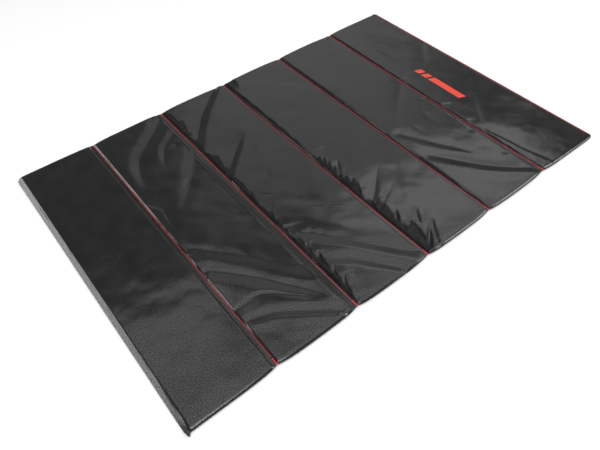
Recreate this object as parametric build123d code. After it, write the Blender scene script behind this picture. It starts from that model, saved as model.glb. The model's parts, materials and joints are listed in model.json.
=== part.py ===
from build123d import *
import os

# A folding exercise mat: six foam pads in one coated-fabric cover, joined by five sewn seams.
# Frame: origin under the middle of the open mat, +X along its length towards the end that is
# stitched shut, +Y across it, +Z up, with the mat lying on Z = 0.
# Each seam is a narrow sewn web at mid-height. It turns about a fold line along each of its long
# edges, so two pads can fold flat onto each other with the web standing between them.

# Driving dimensions, in millimetres
LENGTH = 900.0
WIDTH = 600.0
THICKNESS = 10.0
PANELS = 6
CLOTH = 0.6  # one ply of the coated cover
STACK_GAP = 1.0  # between the faces of two pads folded onto each other
PAD_CLEARANCE = 1.0  # from a fold line to the pad beside it
FOAM_CLEARANCE = 0.15
CORNER_RADIUS = 10.0  # of a pad, seen from above
EDGE_RADIUS = 4.6  # of a pad's top and bottom edges
WEB_INSET = 4.0  # the sewn webs stop this far inside the long edges
THREAD_RADIUS = 0.5
BACK_TACK_RADIUS = 0.8  # the stitches are doubled at both ends of a seam
NEAR_BACK_TACK = 15.0
FAR_BACK_TACK = 8.0
FLANGE = 5.0  # the stitched edge that closes the cover
END_STITCH_INSET = 2.5
EAR_REACH = 9.0  # the folded tab of spare cloth at one corner
PRINT_FILM = 0.1
BAR_HEIGHT = 16.0
BAR_SLANT = 6.0
BAR_LENGTHS = (14.0, 14.0, 86.0)
BAR_GAP = 6.0
MARK_X = 352.0

# Worked out from them
PITCH = LENGTH / PANELS
MIDDLE = THICKNESS / 2
WEB_SPAN = THICKNESS + STACK_GAP
WEB_WIDTH = WIDTH - 2 * WEB_INSET
WEB_TOP = MIDDLE + CLOTH
WEB_BOTTOM = MIDDLE - CLOTH
PAD_INSET = WEB_SPAN / 2 + PAD_CLEARANCE


def seam_x(number):
    """Where seam 1 to 5 lies along the mat."""
    return number * PITCH - LENGTH / 2


def pad_span(number):
    """Where pad 1 to 6 starts and ends along the mat."""
    start = -LENGTH / 2 if number == 1 else seam_x(number - 1) + PAD_INSET
    end = LENGTH / 2 - FLANGE if number == PANELS else seam_x(number) - PAD_INSET
    return start, end


def between(low, high):
    """A box given by its lowest and highest corner."""
    size = [b - a for a, b in zip(low, high)]
    centre = [(a + b) / 2 for a, b in zip(low, high)]
    return Pos(*centre) * Box(*size)


def rounded_slab(number, inset):
    """Pad `number`'s outer shape, drawn in on every side by `inset`."""
    start, end = pad_span(number)
    height = THICKNESS - 2 * inset
    outline = RectangleRounded(end - start - 2 * inset, WIDTH - 2 * inset, CORNER_RADIUS - inset)
    slab = extrude(Pos((start + end) / 2, 0, inset) * outline, height)
    faces = slab.faces().sort_by(Axis.Z)
    return fillet(faces[0].edges() + faces[-1].edges(), EDGE_RADIUS - inset)


def cover_half(number, low, high):
    """The cover's cloth round pad `number`, between two heights."""
    start, end = pad_span(number)
    shell = rounded_slab(number, 0) - rounded_slab(number, CLOTH)
    half = shell & between((start, -WIDTH / 2, low), (end, WIDTH / 2, high))
    if number < PANELS:
        return half
    ply_low, ply_high = max(low, WEB_BOTTOM), min(high, WEB_TOP)
    side = WIDTH / 2 - CORNER_RADIUS
    return half + between((end - CLOTH / 2, -side, ply_low), (end + FLANGE, side, ply_high))


def cover_top(number):
    return cover_half(number, MIDDLE, THICKNESS)


def cover_bottom(number):
    return cover_half(number, 0, MIDDLE)


def foam_core(number):
    return rounded_slab(number, CLOTH + FOAM_CLEARANCE)


def web_ply(number, low, high):
    """One ply of a sewn web, with its long edges rounded about the two fold lines."""
    section = Plane.XZ * SlotCenterToCenter(WEB_SPAN, 2 * CLOTH)
    both = extrude(Pos(seam_x(number), WEB_WIDTH / 2, MIDDLE) * section, WEB_WIDTH)
    reach = WEB_SPAN / 2 + CLOTH
    x = seam_x(number)
    return both & between((x - reach, -WEB_WIDTH / 2, low), (x + reach, WEB_WIDTH / 2, high))


def web_top(number):
    return web_ply(number, MIDDLE, WEB_TOP)


def web_bottom(number):
    return web_ply(number, WEB_BOTTOM, MIDDLE)


def thread(x, start, end, surface, radius, up):
    """A row of stitches along Y, as a half-round rod lying on a ply."""
    rod = Pos(x, (start + end) / 2, surface) * Rot(90, 0, 0) * Cylinder(radius, end - start)
    low, high = (surface, surface + radius) if up else (surface - radius, surface)
    return rod & between((x - radius, start, low), (x + radius, end, high))


def seam_thread_top(number):
    start = NEAR_BACK_TACK - WEB_WIDTH / 2
    end = WEB_WIDTH / 2 - FAR_BACK_TACK
    return thread(seam_x(number), start, end, WEB_TOP, THREAD_RADIUS, True)


def back_tack_near(number):
    start = -WEB_WIDTH / 2
    return thread(seam_x(number), start, start + NEAR_BACK_TACK, WEB_TOP, BACK_TACK_RADIUS, True)


def back_tack_far(number):
    end = WEB_WIDTH / 2
    return thread(seam_x(number), end - FAR_BACK_TACK, end, WEB_TOP, BACK_TACK_RADIUS, True)


def seam_thread_bottom(number):
    """The bobbin side's stitches, doubled at both ends like the top's."""
    x, end = seam_x(number), WEB_WIDTH / 2
    run = thread(x, -end, end, WEB_BOTTOM, THREAD_RADIUS, False)
    near = thread(x, -end, NEAR_BACK_TACK - end, WEB_BOTTOM, BACK_TACK_RADIUS, False)
    far = thread(x, end - FAR_BACK_TACK, end, WEB_BOTTOM, BACK_TACK_RADIUS, False)
    return run + near + far


def end_thread(surface, up):
    """The stitches that close the cover along its flange."""
    side = WIDTH / 2 - CORNER_RADIUS
    return thread(LENGTH / 2 - END_STITCH_INSET, -side, side, surface, THREAD_RADIUS, up)


def corner_ear():
    """The spare cloth folded flat at the near left corner, a two-ply tab beside the pad."""
    x, y = -LENGTH / 2, -WIDTH / 2
    tab = Polygon((x, y), (x + EAR_REACH, y), (x, y + EAR_REACH), align=None)
    ears = extrude(Pos(0, 0, WEB_BOTTOM) * tab, 2 * CLOTH) - rounded_slab(1, 0)
    return ears.solids().sort_by(SortBy.VOLUME)[-1]


def mark_bar(index):
    """One slanted bar of the plain printed mark, a thin film on the last pad."""
    run = sum(BAR_LENGTHS) + BAR_GAP * (len(BAR_LENGTHS) - 1)
    top = run / 2 - sum(BAR_LENGTHS[:index]) - BAR_GAP * index
    bottom = top - BAR_LENGTHS[index]
    low, high = MARK_X - BAR_HEIGHT / 2, MARK_X + BAR_HEIGHT / 2
    lean = BAR_SLANT / 2
    corners = (
        (low, top + lean),
        (low, bottom + lean),
        (high, bottom - lean),
        (high, top - lean),
    )
    return extrude(Pos(0, 0, THICKNESS) * Polygon(*corners, align=None), PRINT_FILM)


def build():
    """Every sub-part by its node's name."""
    nodes = {}
    for number in range(1, PANELS + 1):
        nodes[f"cover_top_{number}"] = cover_top(number)
        nodes[f"cover_bottom_{number}"] = cover_bottom(number)
        nodes[f"foam_core_{number}"] = foam_core(number)
    for number in range(1, PANELS):
        nodes[f"web_top_{number}"] = web_top(number)
        nodes[f"web_bottom_{number}"] = web_bottom(number)
        nodes[f"seam_thread_top_{number}"] = seam_thread_top(number)
        nodes[f"seam_thread_bottom_{number}"] = seam_thread_bottom(number)
        nodes[f"back_tack_near_{number}"] = back_tack_near(number)
        nodes[f"back_tack_far_{number}"] = back_tack_far(number)
    nodes["end_thread_top"] = end_thread(WEB_TOP, True)
    nodes["end_thread_bottom"] = end_thread(WEB_BOTTOM, False)
    nodes["corner_ear"] = corner_ear()
    for index in range(len(BAR_LENGTHS)):
        nodes[f"mark_bar_{index + 1}"] = mark_bar(index)
    return nodes


os.makedirs("parts", exist_ok=True)
for name, shape in build().items():
    export_step(shape, f"parts/{name}.step")
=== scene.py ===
import json
import math

import bpy
import numpy as np
from mathutils import Euler, Matrix, Vector


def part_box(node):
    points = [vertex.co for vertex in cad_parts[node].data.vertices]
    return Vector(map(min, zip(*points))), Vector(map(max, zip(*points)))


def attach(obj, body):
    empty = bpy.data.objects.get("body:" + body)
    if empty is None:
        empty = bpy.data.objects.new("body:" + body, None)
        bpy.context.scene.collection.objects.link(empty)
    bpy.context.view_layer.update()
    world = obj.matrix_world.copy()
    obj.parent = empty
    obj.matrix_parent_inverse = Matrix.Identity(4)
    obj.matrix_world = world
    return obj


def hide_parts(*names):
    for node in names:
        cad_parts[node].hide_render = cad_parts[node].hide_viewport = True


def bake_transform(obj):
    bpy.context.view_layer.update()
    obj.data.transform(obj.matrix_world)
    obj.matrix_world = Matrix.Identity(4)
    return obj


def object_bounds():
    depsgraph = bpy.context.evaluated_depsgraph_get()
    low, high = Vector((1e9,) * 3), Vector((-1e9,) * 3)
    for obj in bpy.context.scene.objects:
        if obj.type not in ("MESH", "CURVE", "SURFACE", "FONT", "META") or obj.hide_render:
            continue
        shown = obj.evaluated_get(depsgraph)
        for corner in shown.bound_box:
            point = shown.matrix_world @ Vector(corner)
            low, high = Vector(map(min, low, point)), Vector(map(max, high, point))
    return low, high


# A folding exercise mat, lying open. Lengths are in metres unless a name ends in MM.
# The cover is built as one continuous tube of cloth round the six pads, so that its folds and its
# shading run on across every border, and it is then cut into the pieces that the joints need.

MM = 0.001

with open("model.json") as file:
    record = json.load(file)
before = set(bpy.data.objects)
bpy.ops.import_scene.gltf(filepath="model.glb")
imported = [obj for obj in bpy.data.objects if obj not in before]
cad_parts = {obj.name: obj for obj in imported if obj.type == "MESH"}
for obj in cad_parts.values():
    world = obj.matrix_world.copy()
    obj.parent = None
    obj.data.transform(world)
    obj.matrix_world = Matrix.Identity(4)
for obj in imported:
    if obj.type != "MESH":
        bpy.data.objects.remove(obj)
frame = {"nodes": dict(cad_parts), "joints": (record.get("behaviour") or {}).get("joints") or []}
CAD_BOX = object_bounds()
LOW, HIGH = CAD_BOX

# --- The mat, from the frame -------------------------------------------------------------------
PANELS = 6
LEFT, RIGHT = LOW.x, HIGH.x
HALF_WIDTH = HIGH.y
PAD_LOW, PAD_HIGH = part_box("cover_bottom_1")[0].z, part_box("cover_top_1")[1].z
MIDDLE = (PAD_LOW + PAD_HIGH) / 2
WEB_BOXES = [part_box(f"web_top_{n}") for n in range(1, PANELS)]
SEAM_X = [(low.x + high.x) / 2 for low, high in WEB_BOXES]
WEB_TOP = WEB_BOXES[0][1].z
HINGES = {j["name"]: j["pos_m"][0] for j in frame["joints"]}
HINGE_REACH = SEAM_X[0] - HINGES["fold_1_left"]
FLANGE_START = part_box("foam_core_6")[1].x
END_STITCH_X = sum(c.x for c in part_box("end_thread_top")) / 2

# --- The cloth's grid --------------------------------------------------------------------------
STRIP = HINGE_REACH + 4 * MM  # from a seam to the border of the pad's own piece
PANEL_CELLS = 50
BORDER = 9 * MM  # the columns are closer together this near to a pad's borders
FINE_CELL = 1.0 * MM
STRIP_CELLS = 14
END_CELLS = 7
TOP_CELLS = 300
BOTTOM_CELLS = TOP_CELLS // 3
SIDE_CELLS = 8

# --- The padded shape --------------------------------------------------------------------------
TOP_LEVEL = PAD_HIGH - 1.7 * MM
TOP_LIMIT = PAD_HIGH + 0.45 * MM  # two folded pads face each other just above this height
LIMIT_KNEE = 0.15 * MM  # how softly the cloth is held below that limit
CROWN = 0.5 * MM
CROWN_POWER = 6  # how late the crown falls off towards the long edges
END_TAPER = 2.2 * MM  # the last pad thins towards its stitched end
END_TAPER_START = SEAM_X[-1] + 20 * MM
STITCH_LEVEL = WEB_TOP + 0.35 * MM
END_RADIUS = 5 * MM
LEFT_SLOPE = 9.0 * MM  # the left end is a soft rolled edge that slopes this far
LEFT_EDGE = -1.4  # and starts this far below the stitches, as a share of their depth
BOTTOM_EDGE = 0.7  # share of its full depth that the underside has at the left end
BOTTOM_RIPPLE = 0.25 * MM
BOTTOM_RIPPLE_SIZE_MM = 60
BOTTOM_RIPPLE_SEED = 3
PLAN_CORNER = 7 * MM
SIDE_SQUARENESS = 0.95  # 1 is a round side, less is squarer
EDGE_ROLL = 7 * MM  # how far in from the long edges the cloth starts to roll over, at most
EDGE_ROLL_SHARE = 1.6  # and as a share of half the edge's height
PULL_IN = 4.5 * MM  # how far the long edges draw in at a seam
PULL_REACH = 16.25 * MM
SETTLE_START, SETTLE_SPAN = 0.1, 0.7  # shares of the pad's height over which the folds begin
# The shape across each seam in millimetres from its middle line: where the left pad's wall starts
# and ends, where the right pad's wall starts and ends, and how much those two walls wander.
SEAM_SHAPES_MM = (
    (-8.8, -6.4, 1.0, 4.1, 0.3, 0.1),
    (-10.5, -8.0, 1.6, 6.6, 0.5, 0.9),
    (-6.2, -4.6, 3.4, 9.0, 0.3, 0.8),
    (-5.6, -4.2, 3.0, 8.6, 0.2, 0.4),
    (-7.6, -4.4, 1.4, 5.4, 1.3, 0.6),
)
BOW_REACH = 18 * MM  # how far from a seam its walls follow the bow of its thread
LEFT_WALL_SEED, RIGHT_WALL_SEED, SEAM_LINE_SEED = 300, 400, 500
# How a wall rises: how crisp it is at its top, and the small lip at its foot
WALL_ROUNDING = 0.07
WALL_LIP, WALL_LIP_SPAN = 0.12, 0.3
# How far the cloth sinks between the thread and the right pad's wall, and how far each way, in mm
TROUGH_MM = (0.0, 0.2, 1.0, 0.9, 0.2)
TROUGH_LEFT_MM, TROUGH_RIGHT_MM = 3.2, 1.6
# How far the thread bows to the left at the ends and at the middle of each seam
THREAD_BOW_MM = ((-1.2, -1.2), (-2.0, -2.4), (-0.5, -3.0), (-1.2, -1.6), (0.0, -3.0))
# Small ridges and furrows that run along a seam: seam, place, from y, to y, width, rise, wander
SEAM_LINES = (
    (1, -9.6, -295, 290, 0.9, 0.35, 0.4),
    (2, -12.6, -295, 296, 1.1, 0.5, 0.8),
    (2, -15.2, -290, 150, 1.0, -0.5, 0.5),
    (2, -17.4, -290, 150, 1.2, 0.35, 0.5),
    (3, 3.2, -80, 292, 0.8, 0.9, 0.5),
    (3, 10.6, 20, 292, 1.0, 0.3, 0.8),
    (4, -6.9, -295, 295, 0.8, 0.25, 0.2),
    (5, -10.5, -290, 40, 1.6, 0.5, 1.6),
)
SEAM_LINE_FADE_MM = 25
# The swings of a wall or a ridge: their length in mm and their size
SWINGS = ((60, 0.6), (17, 0.5), (7, 0.35))
WAVE_TABLE = 512  # random values along a wave
WAVE_START = 200  # which of them lies at the middle of the mat


def panel_columns(left, right):
    """Columns across a pad: close together at its borders, where its walls are."""
    fine = np.arange(0, BORDER, FINE_CELL)
    middle = np.linspace(left + BORDER, right - BORDER, PANEL_CELLS + 1)
    return list(left + fine) + list(middle) + list(right - fine[::-1])


def columns():
    """X of every column of the cloth, and the column numbers where its pieces begin and end."""
    bends = END_RADIUS * (1 - np.cos(np.linspace(0, math.pi / 2, END_CELLS + 1)))
    xs, cuts, left = list(LEFT + bends[:-1]), [0], LEFT + END_RADIUS
    for x in SEAM_X:
        xs += panel_columns(left, x - STRIP)[:-1]
        cuts.append(len(xs))
        for start in (x - STRIP, x):
            xs += list(np.linspace(start, start + STRIP, STRIP_CELLS + 1)[:-1])
            cuts.append(len(xs))
        left = x + STRIP
    xs += panel_columns(left, FLANGE_START)
    xs += list(np.linspace(FLANGE_START, RIGHT, END_CELLS + 1)[1:])
    cuts.append(len(xs) - 1)
    return np.array(xs), cuts


XS, CUTS = columns()
# The places of the rows, as shares of the half width at each column
YS = np.linspace(-1, 1, TOP_CELLS + 1)
BOTTOM_YS = np.linspace(-1, 1, BOTTOM_CELLS + 1)


def smooth(t):
    """A soft step from 0 to 1."""
    t = np.clip(t, 0, 1)
    return t * t * (3 - 2 * t)


def half_widths(xs):
    """How far each column reaches to either side: less at the seams and round the corners."""
    half = np.full_like(xs, HALF_WIDTH)
    for x in SEAM_X:
        half -= PULL_IN * np.exp(-np.abs(xs - x) / PULL_REACH)
    for end in (LEFT, RIGHT):
        away = np.clip(np.abs(xs - end), 0, PLAN_CORNER)
        half -= PLAN_CORNER - np.sqrt(PLAN_CORNER**2 - (PLAN_CORNER - away) ** 2)
    return half


HALF = half_widths(XS)


def wave(y_mm, size, seed):
    """A smooth random line between about -1 and 1 along a seam."""
    rng = np.random.RandomState(seed)
    table = rng.uniform(-1, 1, WAVE_TABLE)
    at = y_mm / size + WAVE_START
    low = np.floor(at).astype(int)
    t = smooth(at - low)
    return table[low % WAVE_TABLE] * (1 - t) + table[(low + 1) % WAVE_TABLE] * t


def wander(y_mm, seed):
    """How a wall or a ridge sways along its seam: slow swings with small ones on them."""
    return sum(share * wave(y_mm, size, seed + i) for i, (size, share) in enumerate(SWINGS))


def thread_bow(seam, y):
    """How far the thread of a seam lies from its middle line."""
    ends, middle = THREAD_BOW_MM[seam]
    return (ends + (middle - ends) * (1 - (y / HALF_WIDTH) ** 2)) * MM


# Where the cloth to the right of a seam is gathered in small folds, which the cloth's material also
# darkens with painted shade: seam, centre y, half length, how far they reach, the pitch of their
# ragged tips, in millimetres
GATHERS_MM = (
    (2, 240, 56, 20, 41),
    (2, 168, 30, 13, 23),
    (2, 96, 40, 18, 37),
    (2, 10, 52, 13, 29),
    (2, -86, 44, 13, 23),
    (2, -206, 88, 20, 33),
    (3, 284, 26, 40, 60),
    (3, 150, 150, 10, 47),
    (3, -40, 40, 20, 17),
    (3, -104, 38, 26, 19),
    (3, -190, 46, 30, 31),
    (3, -258, 44, 46, 35),
)
GATHER_START_MM = 2  # how far from the seam's middle line they begin
GATHER_LEAN = 0.86  # the tips point away from the seam and towards the far side
GATHER_DEPTH_MM = 1.3
GATHER_SLOPE_MM = 20  # how far from the seam they take to reach that depth
GATHER_RISE_MM = 1.5  # how soft their edge at the seam is
GATHER_SOFT_MM, GATHER_SOFT_SHARE = 2, 0.16  # how soft their tips are, with a share of their reach
GATHER_SEED = 600
COMB_DEPTH_MM, COMB_PITCH_MM, COMB_LEAN, COMB_START_MM, COMB_SEED = 0.16, 3.4, 0.3, 8, 700
TIP_TABLE = 256  # random heights of the tips
TIP_START = 60  # which of them lies at the middle of the mat
TIP_FOOT = 0.4  # how far the cloth is gathered between two tips, as a share
TIP_LOWEST = 0.6  # the lowest tip, as a share of the highest
TIP_CURVE = 1.3  # how hollow a tip's slow side is
TIP_DROP = 0.14  # share of the pitch over which a tip drops again
TIP_SHIFT, TIP_SHIFT_SIZE = 0.5, 1.4  # how uneven the pitch is, and over how many tips


def tips(along, pitch, seed):
    """A ragged line of slanted tips up to 1: each rises slowly and drops at once."""
    rng = np.random.RandomState(seed)
    heights = rng.uniform(TIP_LOWEST, 1.0, TIP_TABLE)
    at = along / pitch + TIP_START + TIP_SHIFT * wave(along, pitch * TIP_SHIFT_SIZE, seed + 1)
    cell = np.floor(at).astype(int)
    t = at - cell
    tip = heights[cell % TIP_TABLE] * t ** TIP_CURVE * smooth((1 - t) / TIP_DROP)
    return TIP_FOOT + (1 - TIP_FOOT) * tip


def gathers(x, y_mm):
    """How strongly the cloth is gathered, from 0 to 1."""
    most = np.zeros_like(x)
    for i, (seam, centre, half_length, reach, pitch) in enumerate(GATHERS_MM):
        away = (x - SEAM_X[seam - 1]) / MM - GATHER_START_MM
        ends = np.clip(1 - np.abs((y_mm - centre) / half_length) ** 3, 0, 1)
        edge = reach * ends * tips(y_mm - GATHER_LEAN * away, pitch, GATHER_SEED + 10 * i)
        soft = GATHER_SOFT_MM + GATHER_SOFT_SHARE * reach
        amount = smooth((edge - away) / soft + 0.5) * smooth(away / GATHER_RISE_MM + 1)
        most = np.maximum(most, amount)
    return most


def gathered_cloth(x, y_mm):
    """How far gathered cloth sinks, in millimetres, with the fine lines that its folds make."""
    amount = gathers(x, y_mm)
    away = np.zeros_like(x)
    for seam_x in SEAM_X:
        away = np.where(x > seam_x, (x - seam_x) / MM, away)
    comb = COMB_DEPTH_MM * wave(y_mm - COMB_LEAN * away, COMB_PITCH_MM, COMB_SEED)
    comb = comb * smooth(away / COMB_START_MM)
    return amount * (GATHER_DEPTH_MM * smooth(away / GATHER_SLOPE_MM) + comb)


def wall(t):
    """A wall's height from its foot (0) to its top (1), round at the foot and crisp at the top."""
    ramp = t - WALL_ROUNDING * np.logaddexp(0, (t - 1) / WALL_ROUNDING)
    lip = WALL_LIP * np.exp(-((np.clip(t, 0, None) / WALL_LIP_SPAN) ** 2)) * (t > 0) * t
    return np.clip(ramp + lip, 0, 1)


def level(x, y):
    """Share of the pad's height over the cloth, from 0 at a stitch line to 1."""
    share = np.ones_like(x)
    y_mm = y / MM
    for n, shape in enumerate(SEAM_SHAPES_MM):
        left_top, left_foot, right_foot, right_top, left_sway, right_sway = shape
        from_seam = x - SEAM_X[n]
        bow = thread_bow(n, y) * np.exp(-((from_seam / BOW_REACH) ** 2))
        away = (from_seam - bow) / MM
        sway = left_sway * wander(y_mm, LEFT_WALL_SEED + n)
        left = wall((left_foot + sway - away) / (left_foot - left_top))
        sway = right_sway * wander(y_mm, RIGHT_WALL_SEED + n)
        right = wall((away - right_foot - sway) / (right_top - right_foot))
        share = np.minimum(share, np.where(away < 0, left, right))
    closing = np.clip((FLANGE_START - x) / END_RADIUS, 0, 1)
    return np.minimum(share, np.sqrt(1 - (1 - closing) ** 2))


# --- Folds -------------------------------------------------------------------------------------
# Each fold is a slope that the cloth makes: its path over the mat, the width of the slope, how far
# the cloth falls across it towards the right of the path (below 0: the left), and how far from it
# the cloth takes to come level again. All in millimetres.
FOLDS = (
    # panel 2
    (((-172, 290), (-215, 250), (-256, 212), (-275, 168), (-284, 108)), 26, -4.2, 24),
    (((-166, 236), (-205, 202), (-228, 150)), 14, -2.2, 15),
    (((-176, 206), (-170, 186)), 9, 1.0, 10),
    (((-166, 160), (-212, 98), (-266, 34)), 22, -4.0, 24),
    (((-176, -30), (-200, -44)), 10, -0.7, 14),
    (((-292, -60), (-245, -116), (-205, -170), (-164, -215)), 44, -1.8, 14),
    (((-294, -112), (-248, -166), (-206, -228), (-168, -280)), 36, -4.8, 12),
    (((-292, -188), (-250, -190), (-212, -226), (-172, -274)), 9, 1.8, 9),
    (((-290, -224), (-255, -238), (-218, -265), (-185, -290)), 16, -4.0, 8),
    (((-292, 80), (-283, 60), (-285, 40)), 7, -0.5, 10),
    # panel 3
    (((-22, 292), (-75, 245), (-110, 205), (-150, 153)), 25, 3.8, 20),
    (((-40, 150), (-95, 100), (-151, 46)), 22, 3.2, 18),
    (((-20, 106), (-58, 91), (-86, 57)), 8, 0.8, 12),
    (((-20, 50), (-36, 28)), 7, 1.0, 8),
    (((-74, 26), (-97, 0)), 8, 0.9, 10),
    (((-124, -48), (-86, -84), (-48, -122)), 18, -2.0, 18),
    (((-84, -98), (-52, -124), (-14, -154)), 9, 1.2, 20),
    (((-138, -136), (-97, -184), (-60, -234), (-14, -292)), 28, -4.2, 14),
    (((-140, -206), (-102, -236), (-58, -294)), 20, -3.4, 12),
    (((-132, -18), (-110, -34)), 2.5, 0.5, 3),
    (((-110, -34), (-152, -86)), 2.5, 0.5, 3),
    # panel 4
    (((46, 275), (85, 235), (112, 200), (150, 150)), 20, -0.8, 26),
    (((36, -38), (22, -60), (8, -78)), 9, 1.9, 9),
    (((80, -101), (50, -132), (26, -153), (6, -168)), 12, 3.0, 12),
    (((142, -88), (95, -140), (60, -190), (34, -215)), 18, 0.9, 24),
    (((64, -214), (44, -240), (30, -262)), 9, 2.0, 9),
    (((68, -250), (48, -272), (34, -294)), 9, 2.0, 9),
    # panel 5
    (((288, 292), (250, 240), (215, 195), (170, 138)), 26, 2.9, 20),
    (((207, 110), (205, 40), (203, -25)), 7, 0.4, 10),
    (((292, 46), (255, 16), (226, -8), (200, -30)), 17, 1.9, 14),
    (((203, -28), (206, -70), (212, -112)), 8, -0.4, 12),
    (((166, -66), (202, -132), (244, -204)), 17, -2.0, 14),
    (((166, -148), (205, -205), (246, -256), (294, -298)), 23, -2.9, 16),
    (((254, -30), (246, -70), (250, -110)), 10, -0.5, 12),
    # panel 6
    (((372, 280), (400, 225), (436, 165)), 26, 0.9, 30),
    (((450, 138), (404, 88), (366, 58)), 16, 0.8, 20),
    (((330, 215), (342, 160), (336, 105)), 16, -0.6, 20),
    (((294, 64), (310, 62), (328, 50)), 6, 0.8, 10),
    (((296, -48), (310, -56), (324, -62)), 6, 0.9, 10),
    (((378, -74), (340, -120), (308, -164)), 14, 1.0, 20),
    (((306, -164), (314, -215), (318, -250), (328, -292)), 8, -1.0, 14),
)

FOLD_FADE = 0.45  # share of its length over which a fold fades out
FOLD_SINK = 0.25  # share of its fall by which the whole fold lies lower than the cloth round it
FOLD_HOLD_MM = 16  # a fold that ends this near a seam or an edge runs into it at full strength
FOLD_CURVE = 1.35  # how early across its width a fold falls
FOLD_END_WIDTH = 0.55  # a fold's width where it fades out, as a share of its full width
FOLD_FLAT = 0.6  # share of its half width after which the cloth starts to come level again
FOLD_MARGIN = 3.5  # how many times that last distance a fold is worked out over
PATH_STEPS = 14  # points on a fold's path for each span of its curve


def path_span(a, b, c, d, t):
    """A Catmull-Rom curve from b to c, between its neighbours a and d."""
    square, cube = 2 * a - 5 * b + 4 * c - d, 3 * b - a - 3 * c + d
    return 0.5 * (2 * b + (c - a) * t + square * t**2 + cube * t**3)


def smooth_path(points):
    """Points along a smooth curve through the given ones."""
    p = np.array(points, float)
    if len(p) == 2:
        t = np.linspace(0, 1, PATH_STEPS)[:, None]
        return p[0] * (1 - t) + p[1] * t
    p = np.vstack([2 * p[0] - p[1], p, 2 * p[-1] - p[-2]])
    t = np.linspace(0, 1, PATH_STEPS, endpoint=False)[:, None]
    spans = [path_span(*four, t) for four in zip(p, p[1:], p[2:], p[3:])]
    return np.vstack(spans + [p[-2:-1]])


def hold(point):
    """1 where a fold runs into a seam or the mat's edge at full strength, 0 where it fades out."""
    to_seam = min(abs(point[0] - x / MM) for x in (*SEAM_X, RIGHT))
    to_edge = HALF_WIDTH / MM - abs(point[1])
    return 1 if min(to_seam, to_edge) < FOLD_HOLD_MM else 0


def beside_path(px, py, path):
    """For each point: its distance from a path, its side of it, and the share of it passed."""
    best = np.full(px.shape, np.inf)
    side, along = np.zeros_like(px), np.zeros_like(px)
    for i, (a, b) in enumerate(zip(path[:-1], path[1:])):
        d = b - a
        t = np.clip(((px - a[0]) * d[0] + (py - a[1]) * d[1]) / (d @ d), 0, 1)
        dx, dy = px - a[0] - t * d[0], py - a[1] - t * d[1]
        r2 = dx * dx + dy * dy
        closer = r2 < best
        best = np.where(closer, r2, best)
        side = np.where(closer, np.sign(dx * d[1] - dy * d[0]), side)
        along = np.where(closer, (i + t) / (len(path) - 1), along)
    return np.sqrt(best), side, along


def add_fold(height, x, y, points, width, fall, reach):
    """Adds one fold to the cloth's height, within its own panel, all in millimetres."""
    path = smooth_path(points)
    walls = np.array([LEFT, *SEAM_X, RIGHT]) / MM
    panel = np.searchsorted(walls[1:-1], path[len(path) // 2][0])
    margin = width / 2 + FOLD_MARGIN * reach
    low, high = path.min(0) - margin, path.max(0) + margin
    near = (x > max(low[0], walls[panel])) & (x < min(high[0], walls[panel + 1]))
    near &= (y > low[1]) & (y < high[1])
    away, side, along = beside_path(x[near], y[near], path)
    taper = smooth((along + hold(path[0])) / FOLD_FADE)
    taper = taper * smooth((1 - along + hold(path[-1])) / FOLD_FADE)
    half = width * (FOLD_END_WIDTH + (1 - FOLD_END_WIDTH) * taper) / 2
    rise = np.tanh(FOLD_CURVE * away / half)
    level_again = np.exp(-np.clip(away - FOLD_FLAT * half, 0, None) / reach)
    height[near] -= (side * fall / 2 * rise + FOLD_SINK * abs(fall)) * taper * level_again


NOISE_TABLE = 256  # random directions each way
NOISE_GAIN = 1.5  # brings gradient noise to about -1 to 1


def noise_2d(x, y, size, seed):
    """Smooth gradient noise between about -1 and 1, with bumps about `size` across."""
    angles = np.random.RandomState(seed).uniform(0, 2 * math.pi, (NOISE_TABLE, NOISE_TABLE))
    gx, gy = x / size, y / size
    ix, iy = np.floor(gx).astype(int), np.floor(gy).astype(int)
    fx, fy = gx - ix, gy - iy

    def corner(i, j):
        angle = angles[(ix + i) % NOISE_TABLE, (iy + j) % NOISE_TABLE]
        return np.cos(angle) * (fx - i) + np.sin(angle) * (fy - j)

    tx, ty = (f**3 * (f * (6 * f - 15) + 10) for f in (fx, fy))
    low = corner(0, 0) * (1 - tx) + corner(1, 0) * tx
    high = corner(0, 1) * (1 - tx) + corner(1, 1) * tx
    return NOISE_GAIN * (low * (1 - ty) + high * ty)


# The cloth's general unevenness: size across, rise and random seed
UNDULATIONS_MM = ((95, 0.5, 1), (46, 0.32, 2), (22, 0.13, 4), (11, 0.035, 5))
UNDULATION_SKEW_X, UNDULATION_SKEW_Y = 0.6, 0.4  # turns the noise's grid away from the seams

# Rows of small puckers along a seam: seam, side, from y, to y, pitch, reach and depth, in mm
PUCKERS = (
    (2, -1, 120, 290, 24, 10, 0.9),
    (2, -1, -280, 110, 33, 8, 0.25),
    (2, 1, -292, -90, 24, 30, 0.9),
    (3, -1, -290, 290, 38, 8, 0.3),
    (3, 1, 150, 295, 34, 20, 0.5),
    (3, 1, -130, 20, 16, 34, 0.6),
    (3, 1, -292, -160, 20, 46, 0.9),
    (4, 1, -292, 292, 45, 10, 0.2),
    (5, -1, -290, 60, 30, 18, 0.9),
    (5, 1, -290, -60, 34, 22, 0.3),
    (5, 1, -60, 290, 30, 14, 0.3),
    (1, 1, -290, 120, 36, 10, 0.15),
    (1, -1, 40, 130, 12, 14, 0.2),
)
PUCKER_SEED = 100
PUCKER_FOOT_MM = 3  # how far from the stitches a pucker takes to reach its depth
# How much the puckers of a row differ: shares of the pitch, of the reach, the lean and the depth
PUCKER_WIDTHS, PUCKER_REACHES, PUCKER_LEANS = (0.16, 0.3), (0.5, 1.4), (-0.5, 0.5)
PUCKER_DEPTHS, PUCKER_STEPS = (0.4, 1), (0.6, 1.4)


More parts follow.
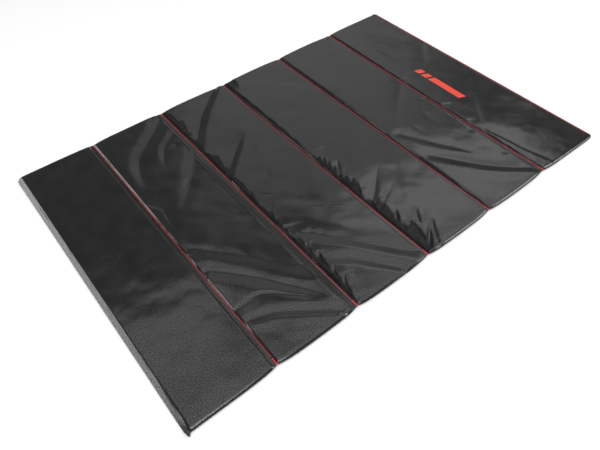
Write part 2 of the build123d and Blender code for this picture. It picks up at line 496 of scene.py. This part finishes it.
def add_puckers(height, x, y, seam, side, start, end, pitch, reach, depth, seed):
    """Adds a row of little folds that start at a seam's stitches and fade out over the pad."""
    rng = np.random.RandomState(seed)
    at = start
    while at < end:
        size = pitch * rng.uniform(*PUCKER_WIDTHS)
        length = reach * rng.uniform(*PUCKER_REACHES)
        lean = rng.uniform(*PUCKER_LEANS)
        away = side * (x - SEAM_X[seam - 1] / MM)
        across = y - at - lean * away
        fade = np.exp(-((np.clip(away, 0, None) / length) ** 2))
        fade = fade * np.clip(away / PUCKER_FOOT_MM, 0, 1)
        height -= depth * rng.uniform(*PUCKER_DEPTHS) * fade * np.exp(-((across / size) ** 2))
        at += pitch * rng.uniform(*PUCKER_STEPS)


def wrinkles():
    """The height of every fold over the cloth's grid, in millimetres."""
    x, y = np.meshgrid(XS / MM, YS, indexing="ij")
    y = y * HALF[:, None] / MM
    height = np.zeros_like(x)
    for fold in FOLDS:
        add_fold(height, x, y, *fold)
    for i, row in enumerate(PUCKERS):
        add_puckers(height, x, y, *row, seed=PUCKER_SEED + i)
    skewed_x, skewed_y = x + UNDULATION_SKEW_X * y, y - UNDULATION_SKEW_Y * x
    for size, rise, seed in UNDULATIONS_MM:
        height += rise * noise_2d(skewed_x, skewed_y, size, seed)
    return height


def seam_lines(x, y_mm):
    """The ridges and furrows that run along the seams, in millimetres."""
    height = np.zeros_like(x)
    for i, (seam, place, start, end, width, rise, sway) in enumerate(SEAM_LINES):
        sideways = place + sway * wander(y_mm, SEAM_LINE_SEED + 10 * i)
        away = (x - SEAM_X[seam - 1]) / MM - sideways
        fade = smooth((y_mm - start) / SEAM_LINE_FADE_MM) * smooth((end - y_mm) / SEAM_LINE_FADE_MM)
        height += rise * fade * np.exp(-((away / width) ** 2))
    return height


def troughs(x, y):
    """How far the cloth sinks between each thread and the right pad's wall, in millimetres."""
    sunk = np.zeros_like(x)
    for n, depth in enumerate(TROUGH_MM):
        right_foot = SEAM_SHAPES_MM[n][2]
        away = (x - SEAM_X[n] - thread_bow(n, y)) / MM - right_foot
        left, right = smooth(1 + away / TROUGH_LEFT_MM), smooth(1 - away / TROUGH_RIGHT_MM)
        sunk += depth * np.where(away < 0, left, right)
    return sunk


def top_surface():
    """Height of the cover's top over the cloth's grid."""
    x, y = np.meshgrid(XS, YS, indexing="ij")
    y = y * HALF[:, None]
    rim = LEFT_EDGE + (1 - LEFT_EDGE) * (x - LEFT) / LEFT_SLOPE
    share = np.minimum(level(x, y), wall(rim) + np.minimum(rim, 0))
    across = 1 - YS[None, :] ** CROWN_POWER
    base = STITCH_LEVEL + (TOP_LEVEL - STITCH_LEVEL) * share + CROWN * share * across
    settle = smooth((share - SETTLE_START) / SETTLE_SPAN)
    base -= END_TAPER * smooth((x - END_TAPER_START) / (RIGHT - END_TAPER_START)) * share
    folds = (wrinkles() - gathered_cloth(x, y / MM)) * settle
    z = base + (folds + seam_lines(x, y / MM) - troughs(x, y)) * MM
    return TOP_LIMIT - LIMIT_KNEE * np.logaddexp(0, (TOP_LIMIT - z) / LIMIT_KNEE)


def bottom_surface():
    """Height of the cover's underside, which has fewer points across than the top."""
    low = 2 * MIDDLE - STITCH_LEVEL
    x, y = np.meshgrid(XS, BOTTOM_YS, indexing="ij")
    y = y * HALF[:, None]
    share = level(x, y) * np.clip(BOTTOM_EDGE + (x - LEFT) / LEFT_SLOPE, 0, 1)
    noise = noise_2d(x / MM, y / MM, BOTTOM_RIPPLE_SIZE_MM, BOTTOM_RIPPLE_SEED)
    ripple = BOTTOM_RIPPLE * (1 + noise)
    return low * (1 - share) + (PAD_LOW + ripple) * share


def rounded_side(flat, reach, top, bottom):
    """Y and z round a long edge, from its top downwards, as columns of points."""
    turn = np.linspace(0, math.pi, SIDE_CELLS + 1)[1:-1]
    out, up = np.sin(turn) ** SIDE_SQUARENESS, np.cos(turn)
    up = np.sign(up) * np.abs(up) ** SIDE_SQUARENESS
    return np.column_stack([flat + reach * out, (top + bottom) / 2 + (top - bottom) / 2 * up])


def build_tube():
    """Points of the whole cover as rings, one for each column: an array of columns x ring x 3."""
    rings = []
    for x, half, top, bottom in zip(XS, HALF, top_surface(), bottom_surface()):
        reach = min(EDGE_ROLL_SHARE * (top[-1] - bottom[-1]) / 2, EDGE_ROLL)
        flat = half - reach
        far = rounded_side(flat, reach, top[-1], bottom[-1])
        near = rounded_side(flat, reach, top[0], bottom[0])[::-1] * (-1, 1)
        above = np.column_stack([YS * flat, top])
        below = np.column_stack([BOTTOM_YS * flat, bottom])[::-1]
        ring = np.vstack([above, far, below, near])
        rings.append(np.column_stack([np.full(len(ring), x), ring]))
    return np.array(rings)


TUBE = build_tube()
RING = TUBE.shape[1]
NO_LENGTH = 1e-12  # keeps a normal of no length from dividing by zero
CLOTH_UV, GATHER_SHADE_LAYER = "cloth", "gathered"  # the layers that the cloth's material reads; the second sets where shade is painted into gathered folds


def tube_normals():
    """Outward normals of the whole cover, so that its shading runs on across every cut."""
    along = np.gradient(TUBE, axis=0)
    around = (np.roll(TUBE, -1, axis=1) - np.roll(TUBE, 1, axis=1)) / 2
    n = np.cross(around, along)
    n /= np.maximum(np.linalg.norm(n, axis=2, keepdims=True), NO_LENGTH)
    upward_on_top = n[len(XS) // 4, TOP_CELLS // 2, 2] > 0
    return n if upward_on_top else -n


NORMALS = tube_normals()


def cap_faces(base, flip):
    """Closes one end of a tube with faces that join each span of its top to the span below it."""
    step = TOP_CELLS // BOTTOM_CELLS
    first_bottom = TOP_CELLS + SIDE_CELLS
    faces = []
    for k in range(BOTTOM_CELLS):
        tops = [base + k * step + s for s in range(step + 1)]
        low_a = base + first_bottom + BOTTOM_CELLS - k
        low_b = low_a - 1
        faces.append(tops + [low_b, low_a])
    far_side = [base + TOP_CELLS + s for s in range(SIDE_CELLS + 1)]
    near_side = [base + first_bottom + BOTTOM_CELLS + s for s in range(SIDE_CELLS)] + [base]
    faces += [far_side, near_side]
    return [f[::-1] for f in faces] if flip else faces


def wall_faces(columns):
    """Faces between each ring of a piece and the next."""
    faces = []
    for i in range(columns - 1):
        a, b = i * RING, (i + 1) * RING
        for r in range(RING):
            s = (r + 1) % RING
            faces.append((a + r, b + r, b + s, a + s))
    return faces


def new_object(name, mesh, material):
    """A smooth-shaded object in the scene."""
    mesh.shade_smooth()
    obj = bpy.data.objects.new(name, mesh)
    bpy.context.scene.collection.objects.link(obj)
    obj.data.materials.append(material)
    return obj


def set_normals(mesh, normals, loops, walls, start_caps):
    """The tube's own normals on the cloth, and flat ones on the faces that close its two ends."""
    split = normals[loops]
    for poly in mesh.polygons[walls:]:
        for loop in poly.loop_indices:
            split[loop] = (-1 if poly.index < walls + start_caps else 1, 0, 0)
    mesh.normals_split_custom_set(split.tolist())


def set_cloth_layers(mesh, points, loops):
    """What the cloth's material reads: places on the flat cloth, and how much it is gathered, which
    sets the painted shade in its folds.
    """
    flat = np.column_stack([points[loops][:, 0], ring_lengths()[loops % RING]])
    mesh.uv_layers.new(name=CLOTH_UV).data.foreach_set("uv", flat.astype(np.float32).ravel())
    top = np.arange(len(points)) % RING <= TOP_CELLS
    amount = gathers(points[:, 0], points[:, 1] / MM) * top
    gathered = mesh.attributes.new(GATHER_SHADE_LAYER, "FLOAT", "POINT")
    gathered.data.foreach_set("value", amount.astype(np.float32))


def cover_piece(name, first, last):
    """One closed piece of the cover, from one column to another."""
    points = TUBE[first:last + 1].reshape(-1, 3)
    columns_in = last - first + 1
    faces = wall_faces(columns_in)
    start_cap, end_cap = cap_faces(0, False), cap_faces((columns_in - 1) * RING, True)
    mesh = bpy.data.meshes.new(name)
    mesh.from_pydata(points.tolist(), [], faces + start_cap + end_cap)
    mesh.validate()
    obj = new_object(name, mesh, CLOTH)
    loops = np.zeros(len(mesh.loops), np.int32)
    mesh.loops.foreach_get("vertex_index", loops)
    normals = NORMALS[first:last + 1].reshape(-1, 3)
    set_normals(mesh, normals, loops, len(faces), len(start_cap))
    set_cloth_layers(mesh, points, loops)
    return obj


def ring_lengths():
    """How far round the cover each ring point lies, so that the weave keeps its size."""
    ring = TUBE[len(XS) // 8]  # a column of the first pad, clear of its walls
    steps = np.linalg.norm(np.diff(ring, axis=0), axis=1)
    return np.concatenate([[0], np.cumsum(steps)])


# --- Materials ---------------------------------------------------------------------------------
def new_material(name):
    material = bpy.data.materials.new(name)
    material.use_nodes = True
    nodes = material.node_tree.nodes
    return material, nodes, material.node_tree.links, nodes["Principled BSDF"]


def add_noise(nodes, links, place, scale, detail):
    noise = nodes.new("ShaderNodeTexNoise")
    noise.inputs["Scale"].default_value = scale
    noise.inputs["Detail"].default_value = detail
    links.new(place, noise.inputs["Vector"])
    return noise.outputs["Fac"]


def add_colours(nodes, links, value, dark, light, start=0.0, end=1.0):
    """A colour that goes from dark to light as a value goes from start to end."""
    ramp = nodes.new("ShaderNodeValToRGB")
    for stop, position, colour in zip(ramp.color_ramp.elements, (start, end), (dark, light)):
        stop.position, stop.color = position, (*colour, 1)
    links.new(value, ramp.inputs["Fac"])
    return ramp.outputs["Color"]


def add_range(nodes, links, value, start, end, low, high):
    """A number that goes from low to high as a value goes from start to end."""
    ranged = nodes.new("ShaderNodeMapRange")
    limits = {"From Min": start, "From Max": end, "To Min": low, "To Max": high}
    for socket, number in limits.items():
        ranged.inputs[socket].default_value = number
    links.new(value, ranged.inputs["Value"])
    return ranged.outputs["Result"]


def add_product(nodes, links, first, second):
    product = nodes.new("ShaderNodeMath")
    product.operation = "MULTIPLY"
    links.new(first, product.inputs[0])
    links.new(second, product.inputs[1])
    return product.outputs["Value"]


def add_bump(nodes, links, height, strength, distance):
    bump = nodes.new("ShaderNodeBump")
    bump.inputs["Strength"].default_value = strength
    bump.inputs["Distance"].default_value = distance
    links.new(height, bump.inputs["Height"])
    return bump


def add_weave(nodes, links, place):
    """A fine plain weave: threads both ways."""
    threads = []
    for way in ("X", "Y"):
        wave_node = nodes.new("ShaderNodeTexWave")
        wave_node.wave_type = "BANDS"
        wave_node.bands_direction = way
        wave_node.inputs["Scale"].default_value = WEAVE_SCALE
        wave_node.inputs["Distortion"].default_value = WEAVE_DISTORTION
        wave_node.inputs["Detail"].default_value = WEAVE_DETAIL
        links.new(place, wave_node.inputs["Vector"])
        threads.append(wave_node.outputs["Fac"])
    return add_product(nodes, links, *threads)


WEAVE_SCALE, WEAVE_DISTORTION, WEAVE_DETAIL = 420, 1.5, 2
WEAVE_BUMP, WEAVE_BUMP_DEPTH = 0.03, 0.2 * MM
GRAIN_SCALE, GRAIN_DETAIL = 640, 3
GRAIN_BUMP, GRAIN_BUMP_DEPTH = 0.08, 0.3 * MM
BLOTCH_SCALE, BLOTCH_DETAIL = 28, 5
BLOTCH_START, BLOTCH_END = 0.3, 0.7
CLOTH_DARK, CLOTH_LIGHT = (0.0045, 0.0048, 0.005), (0.0085, 0.009, 0.0093)
CLOTH_ROUGHNESS = (0.13, 0.18)
SPECKLE_START, SPECKLE_END = 0.38, 0.62
SPECKLE_SHINE = (0.16, 0.86)
GATHER_SHADE_SHINE = 0.22  # painted shade in gathered folds: the share of its shine that gathered cloth keeps


def cloth_material():
    """Black polyester with a thin shiny coat: a fine plain weave, a speckled shine, blotches, and
    painted shade that cuts the shine in gathered folds.
    """
    material, nodes, links, shader = new_material("coated_cloth")
    uv = nodes.new("ShaderNodeUVMap")
    uv.uv_map = CLOTH_UV
    place = uv.outputs["UV"]
    weave = add_weave(nodes, links, place)
    grain = add_noise(nodes, links, place, GRAIN_SCALE, GRAIN_DETAIL)
    blotch = add_noise(nodes, links, place, BLOTCH_SCALE, BLOTCH_DETAIL)
    colour = add_colours(nodes, links, blotch, CLOTH_DARK, CLOTH_LIGHT, BLOTCH_START, BLOTCH_END)
    links.new(colour, shader.inputs["Base Color"])
    rough = add_range(nodes, links, blotch, BLOTCH_START, BLOTCH_END, *CLOTH_ROUGHNESS)
    links.new(rough, shader.inputs["Roughness"])
    speckle = add_range(nodes, links, grain, SPECKLE_START, SPECKLE_END, *SPECKLE_SHINE)
    # Painted shade: the shine is cut where the cloth is gathered, so that its folds look dark.
    gathered = nodes.new("ShaderNodeAttribute")
    gathered.attribute_name = GATHER_SHADE_LAYER
    painted_shade = add_range(nodes, links, gathered.outputs["Fac"], 0.0, 1.0, 1.0, GATHER_SHADE_SHINE)
    shine = add_product(nodes, links, speckle, painted_shade)
    links.new(shine, shader.inputs["Specular IOR Level"])
    weave_bump = add_bump(nodes, links, weave, WEAVE_BUMP, WEAVE_BUMP_DEPTH)
    grain_bump = add_bump(nodes, links, grain, GRAIN_BUMP, GRAIN_BUMP_DEPTH)
    links.new(weave_bump.outputs["Normal"], grain_bump.inputs["Normal"])
    links.new(grain_bump.outputs["Normal"], shader.inputs["Normal"])
    return material


NOISE_DETAIL = 2
THREAD_NOISE_SCALE, PRINT_NOISE_SCALE = 900, 500
THREAD_DARK, THREAD_LIGHT = (0.42, 0.003, 0.012), (0.75, 0.01, 0.026)
PRINT_DARK, PRINT_LIGHT = (0.5, 0.03, 0.013), (0.68, 0.046, 0.019)


def mottled_material(name, scale, dark, light, roughness):
    """A material whose colour varies finely between two shades."""
    material, nodes, links, shader = new_material(name)
    where = nodes.new("ShaderNodeTexCoord")
    noise = add_noise(nodes, links, where.outputs["Object"], scale, NOISE_DETAIL)
    links.new(add_colours(nodes, links, noise, dark, light), shader.inputs["Base Color"])
    shader.inputs["Roughness"].default_value = roughness
    return material, shader


def thread_material():
    material, shader = mottled_material(
        "red_thread", THREAD_NOISE_SCALE, THREAD_DARK, THREAD_LIGHT, roughness=0.45
    )
    shader.inputs["Sheen Weight"].default_value = 0.05
    return material


def print_material():
    return mottled_material(
        "orange_print", PRINT_NOISE_SCALE, PRINT_DARK, PRINT_LIGHT, roughness=0.5
    )[0]


CLOTH = cloth_material()
THREAD = thread_material()
PRINT = print_material()


# --- The cover's pieces ------------------------------------------------------------------------
def make_panel(n, cut):
    panel = cover_piece(f"padded_panel_{n}", CUTS[cut], CUTS[cut + 1])
    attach(panel, f"panel_{n}")
    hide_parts(f"cover_top_{n}", f"cover_bottom_{n}", f"foam_core_{n}")


def make_strip(name, cut, node):
    """A strip of cloth beside a seam."""
    strip = cover_piece(name, CUTS[cut], CUTS[cut + 1])
    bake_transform(strip)
    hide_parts(node)


def make_cover():
    """Six padded panels, and two strips at each seam."""
    cut = 0
    for n in range(1, PANELS + 1):
        make_panel(n, cut)
        if n == PANELS:
            break
        make_strip(f"seam_slope_left_{n}", cut + 1, f"web_top_{n}")
        make_strip(f"seam_slope_right_{n}", cut + 2, f"web_bottom_{n}")
        cut += 3


make_cover()


# --- Stitches ----------------------------------------------------------------------------------
STITCH_PITCH = 4.0 * MM
STITCH_LENGTH = 3.1 * MM
STITCH_RADIUS = 0.55 * MM
STITCH_SIDES = 8
STITCH_RINGS = 7
STITCH_TIP = 0.06  # share of a half turn left out at each end, so that the ends stay blunt
STITCH_RISE = 1.5  # how much higher a stitch's middle lies than its ends would, in radii
STITCH_END_SIZE = 0.45  # its radius towards its ends, as a share
STITCH_LIFT = 0.1 * MM  # above the seam's cloth
STITCH_SWAY_MM, STITCH_SKEW_MM = 0.12, 0.06  # how far a stitch strays, and lies aslant
TACK_RADIUS, TACK_PITCH, TACK_LENGTH = 0.5 * MM, 3.1 * MM, 3.0 * MM
TACK_ROWS_MM = (-0.45, 0.0, 0.45)
END_SEED, LOWER_SEED, NEAR_TACK_SEED, FAR_TACK_SEED = 7, 50, 100, 150
TINY = 1e-6


def stitch(x, start, end, surface, up, radius, skew):
    """One stitch along Y: a short rounded thread that dips into the cloth at both ends."""
    points, faces = [], []
    for i in range(STITCH_RINGS):
        t = i / (STITCH_RINGS - 1)
        bulge = math.sin(math.pi * (STITCH_TIP + (1 - 2 * STITCH_TIP) * t))
        centre_x, centre_y = x + skew * (2 * t - 1), start * (1 - t) + end * t
        centre_z = surface + up * radius * STITCH_RISE * (bulge - 0.5)
        size = radius * (STITCH_END_SIZE + (1 - STITCH_END_SIZE) * bulge)
        for k in range(STITCH_SIDES):
            turn = 2 * math.pi * k / STITCH_SIDES
            out, rise = size * math.cos(turn), size * math.sin(turn)
            points.append((centre_x + out, centre_y, centre_z + rise))
    for i in range(STITCH_RINGS - 1):
        p, q = i * STITCH_SIDES, (i + 1) * STITCH_SIDES
        for k in range(STITCH_SIDES):
            m = (k + 1) % STITCH_SIDES
            faces.append((p + k, p + m, q + m, q + k))
    faces.append(tuple(range(STITCH_SIDES))[::-1])
    faces.append(tuple((STITCH_RINGS - 1) * STITCH_SIDES + k for k in range(STITCH_SIDES)))
    return points, faces


def stitched_row(name, runs):
    """One mesh of many stitches. runs: what stitch() takes, for each of them."""
    points, faces = [], []
    for run in runs:
        p, f = stitch(*run)
        base = len(points)
        points += p
        faces += [tuple(base + v for v in face) for face in f]
    mesh = bpy.data.meshes.new(name)
    mesh.from_pydata(points, [], faces)
    return new_object(name, mesh, THREAD)


def row(
    x, low, high, surface, up, seed,
    radius=STITCH_RADIUS, pitch=STITCH_PITCH, length=STITCH_LENGTH,
):
    """Stitches from low to high along Y. x gives the thread's place at each y."""
    rng = np.random.RandomState(seed)
    runs, y = [], low
    while y + length <= high + TINY:
        sway = rng.uniform(-STITCH_SWAY_MM, STITCH_SWAY_MM) * MM
        skew = rng.uniform(-STITCH_SKEW_MM, STITCH_SKEW_MM) * MM
        runs.append((x(y) + sway, y, y + length, surface, up, radius, skew))
        y += pitch
    return runs


def back_tack(x, low, high, surface, up, seed):
    """Stitches sewn over each other where the seam was locked."""
    runs = []
    for i, offset in enumerate(TACK_ROWS_MM):
        def beside(y, offset=offset):
            return x(y) + offset * MM

        runs += row(beside, low, high, surface, up, seed + i, TACK_RADIUS, TACK_PITCH, TACK_LENGTH)
    return runs


def add_stitches(name, runs, body, node):
    obj = stitched_row(name, runs)
    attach(obj, body)
    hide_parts(node)


def make_seam(n):
    """The stitches of seam n: a run on each side, and the doubled ones at its two ends."""
    def x(y):
        return SEAM_X[n - 1] + thread_bow(n - 1, y)

    near_start, near_end = (corner.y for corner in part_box(f"back_tack_near_{n}"))
    far_start, far_end = (corner.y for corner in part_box(f"back_tack_far_{n}"))
    top = STITCH_LEVEL + STITCH_LIFT
    low = 2 * MIDDLE - top
    upper = row(x, near_end, far_start, top, 1, n)
    lower = row(x, near_start, far_end, low, -1, n + LOWER_SEED)
    near = back_tack(x, near_start, near_end, top, 1, n + NEAR_TACK_SEED)
    far = back_tack(x, far_start, far_end, top, 1, n + FAR_TACK_SEED)
    for name, node, runs in (
        ("seam_stitches_top", "seam_thread_top", upper),
        ("seam_stitches_bottom", "seam_thread_bottom", lower),
        ("back_tack_near_stitches", "back_tack_near", near),
        ("back_tack_far_stitches", "back_tack_far", far),
    ):
        add_stitches(f"{name}_{n}", runs, f"web_{n}", f"{node}_{n}")


def make_end_stitches():
    """The two rows that close the cover along its right end."""
    start, end = (corner.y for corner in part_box("end_thread_top"))
    top = STITCH_LEVEL + STITCH_LIFT
    def x(_):
        return END_STITCH_X

    for side, surface, up in (("top", top, 1), ("bottom", 2 * MIDDLE - top, -1)):
        runs = row(x, start, end, surface, up, END_SEED)
        add_stitches(f"end_stitches_{side}", runs, f"panel_{PANELS}", f"end_thread_{side}")


for seam_number in range(1, PANELS):
    make_seam(seam_number)
make_end_stitches()


# --- The printed mark and the corner tab -------------------------------------------------------
def top_at(x, y):
    """Height of the cover's top at a place, from the grid."""
    i = np.clip(np.searchsorted(XS, x) - 1, 0, len(XS) - 2)
    s = (x - XS[i]) / (XS[i + 1] - XS[i])
    heights = []
    for c in (i, i + 1):
        ys = TUBE[c, :TOP_CELLS + 1, 1]
        heights.append(np.interp(y, ys, TUBE[c, :TOP_CELLS + 1, 2]))
    return heights[0] * (1 - s) + heights[1] * s


MARK_LIFT = 0.12 * MM
MARK_FILM = 0.1 * MM
MARK_CELL = 1.5 * MM
MARK_BARS = 3
MARK_DIGITS = 5  # corners are compared to a hundredth of a millimetre


def grid_faces(across, along):
    """Faces of a grid of points that has one row more than cells each way."""
    faces = []
    for i in range(across):
        for j in range(along):
            a = i * (along + 1) + j
            faces.append((a, a + along + 1, a + along + 2, a + 1))
    return faces


def mark_bar(index):
    """A slanted bar printed on the last panel, following the cloth under it."""
    node, name = f"mark_bar_{index}", f"printed_bar_{index}"
    vertices = frame["nodes"][node].data.vertices
    corners = {tuple(round(c, MARK_DIGITS) for c in v.co[:2]) for v in vertices}
    low_x, high_x = min(c[0] for c in corners), max(c[0] for c in corners)
    low = sorted(c[1] for c in corners if c[0] == low_x)
    high = sorted(c[1] for c in corners if c[0] == high_x)
    across = max(2, round((high_x - low_x) / MARK_CELL))
    along = max(2, round((low[-1] - low[0]) / MARK_CELL))
    points = []
    for i in range(across + 1):
        s = i / across
        x = low_x * (1 - s) + high_x * s
        start, end = low[0] * (1 - s) + high[0] * s, low[-1] * (1 - s) + high[-1] * s
        for j in range(along + 1):
            y = start + (end - start) * j / along
            points.append((x, y, float(top_at(x, y)) + MARK_LIFT))
    mesh = bpy.data.meshes.new(name)
    mesh.from_pydata(points, [], grid_faces(across, along))
    obj = new_object(name, mesh, PRINT)
    obj.modifiers.new("film", "SOLIDIFY").thickness = MARK_FILM
    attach(obj, f"panel_{PANELS}")
    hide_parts(node)


for bar_number in range(1, MARK_BARS + 1):
    mark_bar(bar_number)


# The tab of spare cloth: its outline from the corner, and its layers' swell and height, all in mm
TAB_OUTLINE_MM = ((1.0, 9.0), (0.2, 1.0), (2.2, -5.2), (4.6, -4.4), (6.2, 1.5), (9.0, 3.5))
TAB_LAYERS_MM = ((0.0, 3.4), (0.7, 3.9), (1.0, 5.0), (0.7, 6.1), (0.0, 6.5))
TAB_SWELL = 0.2


def corner_tab():
    """The spare cloth folded out at the near left corner."""
    outline = np.array(TAB_OUTLINE_MM)
    centre = outline.mean(axis=0)
    points, faces = [], []
    for swell, z in TAB_LAYERS_MM:
        for place in centre + (outline - centre) * (1 - TAB_SWELL + TAB_SWELL * swell):
            points.append((LEFT + place[0] * MM, -HALF_WIDTH + place[1] * MM, z * MM))
    count = len(outline)
    for i in range(len(TAB_LAYERS_MM) - 1):
        p, q = i * count, (i + 1) * count
        for k in range(count):
            m = (k + 1) % count
            faces.append((p + k, p + m, q + m, q + k))
    faces += [tuple(range(count))[::-1], tuple(len(points) - count + k for k in range(count))]
    mesh = bpy.data.meshes.new("corner_tab")
    mesh.from_pydata(points, [], faces)
    mesh.uv_layers.new(name=CLOTH_UV)
    obj = new_object("corner_tab", mesh, CLOTH)
    obj.modifiers.new("smooth", "SUBSURF").render_levels = 2
    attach(obj, "panel_1")
    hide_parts("corner_ear")


corner_tab()


# --- Stage -------------------------------------------------------------------------------------
FLOOR_SIZE = 6
# Each light: its azimuth, elevation, distance, how many degrees it reaches across and upward, and
# its radiance. The first three are one big softbox whose lower edge has two feet, turned together.
MAIN_UPWARD = (-0.0787, -0.8358, 0.5434)
MAIN_LIGHTS = {
    "main_softbox": (-1.0, 72.7, 5.0, (58, 40), 1.4),
    "main_left_foot": (90.8, 60.5, 5.0, (21, 9), 1.4),
    "main_right_foot": (28.1, 46.0, 5.0, (26, 9), 1.75),
}
SIDE_LIGHTS = {
    "left_strip": (141, 15.5, 4.0, (60, 15), 3.5),
    "right_softbox": (-36, 35, 4.0, (28, 20), 7.0),
    "front_softbox": (-125, 62, 2.6, (40, 32), 5.0),
}
HORIZON_TOP, HORIZON_GLOW = 0.16, 0.9
ROOM_START, ROOM_GLOW = 0.36, 0.25
PATCH_PLACE = (52, 37)  # a soft pale patch of the far wall
PATCH_START, PATCH_END, PATCH_GLOW = 7, 19, 0.6
CAMERA_PLACE = (-0.483, -0.599, 0.713)
CAMERA_AIM = (-0.116, -0.114, 0.0)
CAMERA_ROLL = math.radians(-1.97)
CAMERA_LENS_MM, CAMERA_SENSOR_MM = 33.3, 36


def make_floor():
    bpy.ops.mesh.primitive_plane_add(size=FLOOR_SIZE)
    floor = bpy.context.object
    floor.name = "floor"
    material, _, _, shader = new_material("pale_floor")
    shader.inputs["Base Color"].default_value = (0.8, 0.8, 0.8, 1)
    shader.inputs["Roughness"].default_value = 0.9
    floor.data.materials.append(material)


def direction(azimuth, elevation):
    """A unit vector towards a place in the room, given in degrees."""
    around, up = math.radians(azimuth), math.radians(elevation)
    return Vector((math.cos(up) * math.cos(around), math.cos(up) * math.sin(around), math.sin(up)))


def softbox(name, azimuth, elevation, distance, spread, radiance, upward=(0, 0, 1)):
    """A rectangular light facing the mat. spread: how many degrees it reaches across and upward."""
    facing = direction(azimuth, elevation)
    across = Vector(upward).cross(facing).normalized()
    size = [2 * distance * math.tan(math.radians(angle) / 2) for angle in spread]
    data = bpy.data.lights.new(name, "AREA")
    data.shape = "RECTANGLE"
    data.size, data.size_y = size
    data.energy = radiance * math.pi * size[0] * size[1]
    light = bpy.data.objects.new(name, data)
    light.visible_camera = False
    turned = Matrix((across, facing.cross(across), facing)).transposed()
    light.matrix_world = Matrix.Translation(facing * distance) @ turned.to_4x4()
    bpy.context.scene.collection.objects.link(light)


def studio_world():
    """A dim room, brighter round the horizon as a white backdrop makes it, with one pale patch."""
    world = bpy.data.worlds.new("studio")
    world.use_nodes = True
    nodes, links = world.node_tree.nodes, world.node_tree.links
    background = nodes["Background"]
    where = nodes.new("ShaderNodeTexCoord")
    split = nodes.new("ShaderNodeSeparateXYZ")
    links.new(where.outputs["Generated"], split.inputs["Vector"])
    glows = (HORIZON_GLOW,) * 3, (ROOM_GLOW,) * 3
    band = add_colours(nodes, links, split.outputs["Z"], *glows, HORIZON_TOP, ROOM_START)
    facing = nodes.new("ShaderNodeVectorMath")
    facing.operation = "DOT_PRODUCT"
    facing.inputs[1].default_value = direction(*PATCH_PLACE)
    links.new(where.outputs["Generated"], facing.inputs[0])
    patch = nodes.new("ShaderNodeMapRange")
    patch.interpolation_type = "SMOOTHSTEP"
    patch.inputs["From Min"].default_value = math.cos(math.radians(PATCH_END))
    patch.inputs["From Max"].default_value = math.cos(math.radians(PATCH_START))
    patch.inputs["To Max"].default_value = PATCH_GLOW
    links.new(facing.outputs["Value"], patch.inputs["Value"])
    total = nodes.new("ShaderNodeVectorMath")
    total.operation = "ADD"
    links.new(band, total.inputs[0])
    links.new(patch.outputs["Result"], total.inputs[1])
    links.new(total.outputs["Vector"], background.inputs["Color"])
    bpy.context.scene.world = world


def make_lights():
    for name, values in MAIN_LIGHTS.items():
        softbox(name, *values, MAIN_UPWARD)
    for name, values in SIDE_LIGHTS.items():
        softbox(name, *values)


def make_camera():
    data = bpy.data.cameras.new("camera")
    data.lens = CAMERA_LENS_MM
    data.sensor_width = CAMERA_SENSOR_MM
    camera = bpy.data.objects.new("camera", data)
    camera.location = CAMERA_PLACE
    facing = (Vector(CAMERA_AIM) - Vector(CAMERA_PLACE)).to_track_quat("-Z", "Y")
    camera.rotation_mode = "QUATERNION"
    camera.rotation_quaternion = facing @ Euler((0, 0, CAMERA_ROLL)).to_quaternion()
    bpy.context.scene.collection.objects.link(camera)
    bpy.context.scene.camera = camera


make_floor()
studio_world()
make_lights()
make_camera()
bpy.context.scene.view_settings.view_transform = "Standard"
